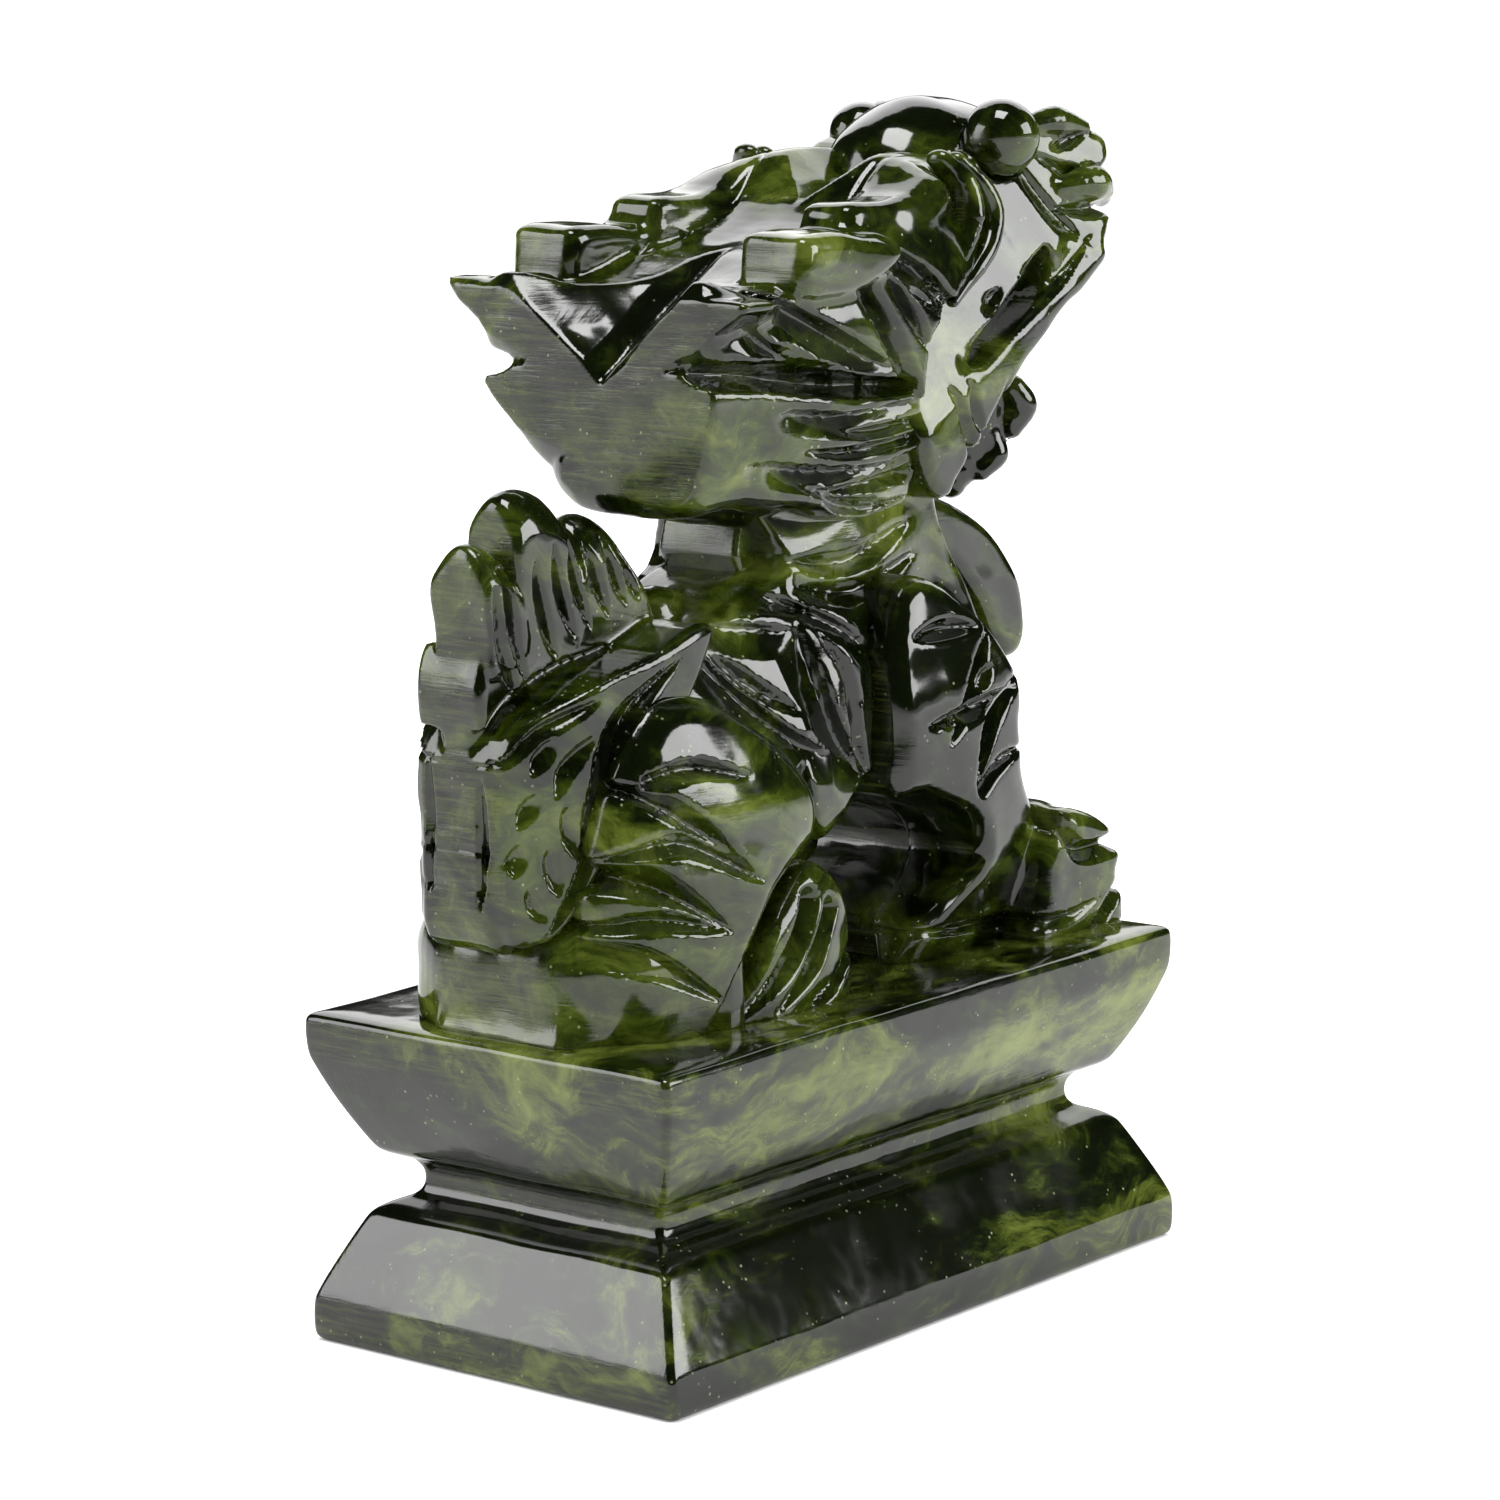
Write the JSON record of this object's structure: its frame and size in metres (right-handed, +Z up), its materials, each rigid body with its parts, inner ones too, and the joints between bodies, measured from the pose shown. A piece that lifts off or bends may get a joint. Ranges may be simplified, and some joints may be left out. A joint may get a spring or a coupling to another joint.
{
  "type": "jade figurine",
  "caption": "Carved green jade guardian beast with a flame tail and swept-back mane, seated on a stepped rectangular pedestal.",
  "frame": {"origin": "middle of the pedestal's flat underside", "axes": "+Z up, -Y the way the beast faces, +X the beast's left side"},
  "size_m": [0.048, 0.0838, 0.1213],
  "materials": {
    "pedestal_jade": "high polish, cloudy yellow-green veins",
    "figure_jade": "high polish, waxy, with grinding marks in the grooves",
    "eye_jade": "mirror polish"
  },
  "bodies": {
    "root": {"pedestal": "pedestal_jade", "torso": "figure_jade", "haunch_left": "figure_jade", "haunch_right": "figure_jade", "foreleg_left": "figure_jade", "foreleg_right": "figure_jade", "tail": "figure_jade", "nape_block": "figure_jade", "mane": "figure_jade", "head": "figure_jade", "ear_left": "figure_jade", "ear_right": "figure_jade", "beard": "figure_jade", "eye_left": "eye_jade", "eye_right": "eye_jade"}
  },
  "joints": []
}
